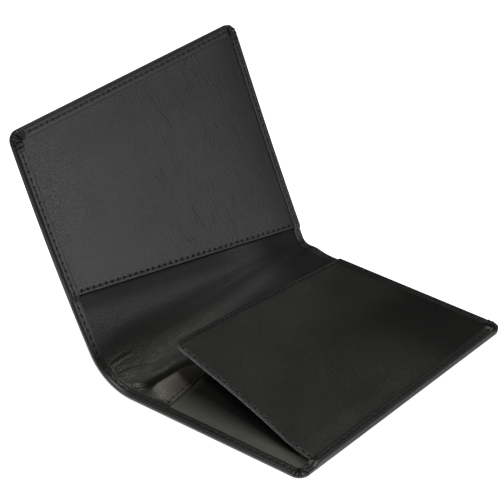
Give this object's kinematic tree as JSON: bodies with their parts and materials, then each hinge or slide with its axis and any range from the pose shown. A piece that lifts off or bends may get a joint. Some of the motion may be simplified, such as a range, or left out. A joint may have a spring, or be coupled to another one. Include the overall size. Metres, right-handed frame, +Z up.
{
  "type": "travel document wallet",
  "caption": "Folding leather travel document wallet with a slanted slip pocket on one cover and a triangular flap pocket on the other.",
  "frame": {"origin": "underside of the right cover, which lies on the table, at the middle of that cover", "axes": "+X from the fold towards the right cover's outer edge, +Y along the spine away from the near edge, +Z up off the table"},
  "size_m": [0.1532, 0.14, 0.1038],
  "materials": {
    "outer_leather": "smooth black semi-gloss",
    "pocket_leather": "smooth black semi-gloss",
    "flap_leather": "smooth black semi-gloss",
    "lining_leather": "black satin",
    "stiffener_board": "grey fibre board",
    "thread": "black waxed thread"
  },
  "bodies": {
    "right_cover": {"right_outer_leather": "outer_leather", "right_stiffener": "stiffener_board", "right_base_lining": "lining_leather", "inner_lining_right_hem": "lining_leather", "inner_lining_hem_thread": "thread", "right_edge_thread": "thread", "flap_leather": "flap_leather", "flap_lining": "lining_leather", "flap_bar_tack": "thread"},
    "spine": {"spine_outer_leather": "outer_leather", "inner_lining_spine": "lining_leather", "spine_near_thread": "thread", "spine_far_thread": "thread"},
    "left_cover": {"left_outer_leather": "outer_leather", "left_stiffener": "stiffener_board", "inner_lining_left": "lining_leather", "left_pocket_leather": "pocket_leather", "left_pocket_hem_thread": "thread", "left_edge_thread": "thread"},
    "flap_corner": {"flap_corner_leather": "flap_leather", "flap_corner_lining": "lining_leather", "flap_edge_thread": "thread"}
  },
  "joints": [
    {"name": "spine_fold", "type": "hinge", "parent": "right_cover", "child": "spine", "pos_m": [-0.0482, 0, 0.00462], "axis": [0, 1, 0], "range_deg": [-33, 59], "deforming": ["spine_outer_leather", "inner_lining_spine", "spine_near_thread", "spine_far_thread"]},
    {"name": "cover_fold", "type": "hinge", "parent": "spine", "child": "left_cover", "pos_m": [-0.05476, 0, 0.01016], "axis": [0, 1, 0], "range_deg": [-33, 59]},
    {"name": "flap_lift", "type": "hinge", "parent": "right_cover", "child": "flap_corner", "pos_m": [0.0482, -0.059, 0.00335], "axis": [-0.5519, 0.8339, 0], "range_deg": [-18.6, 10.4]}
  ],
  "couplings": [
    {"joint": "cover_fold", "follows": "spine_fold", "ratio": 1},
    {"joint": "flap_lift", "follows": "spine_fold", "ratio": -0.3136}
  ]
}
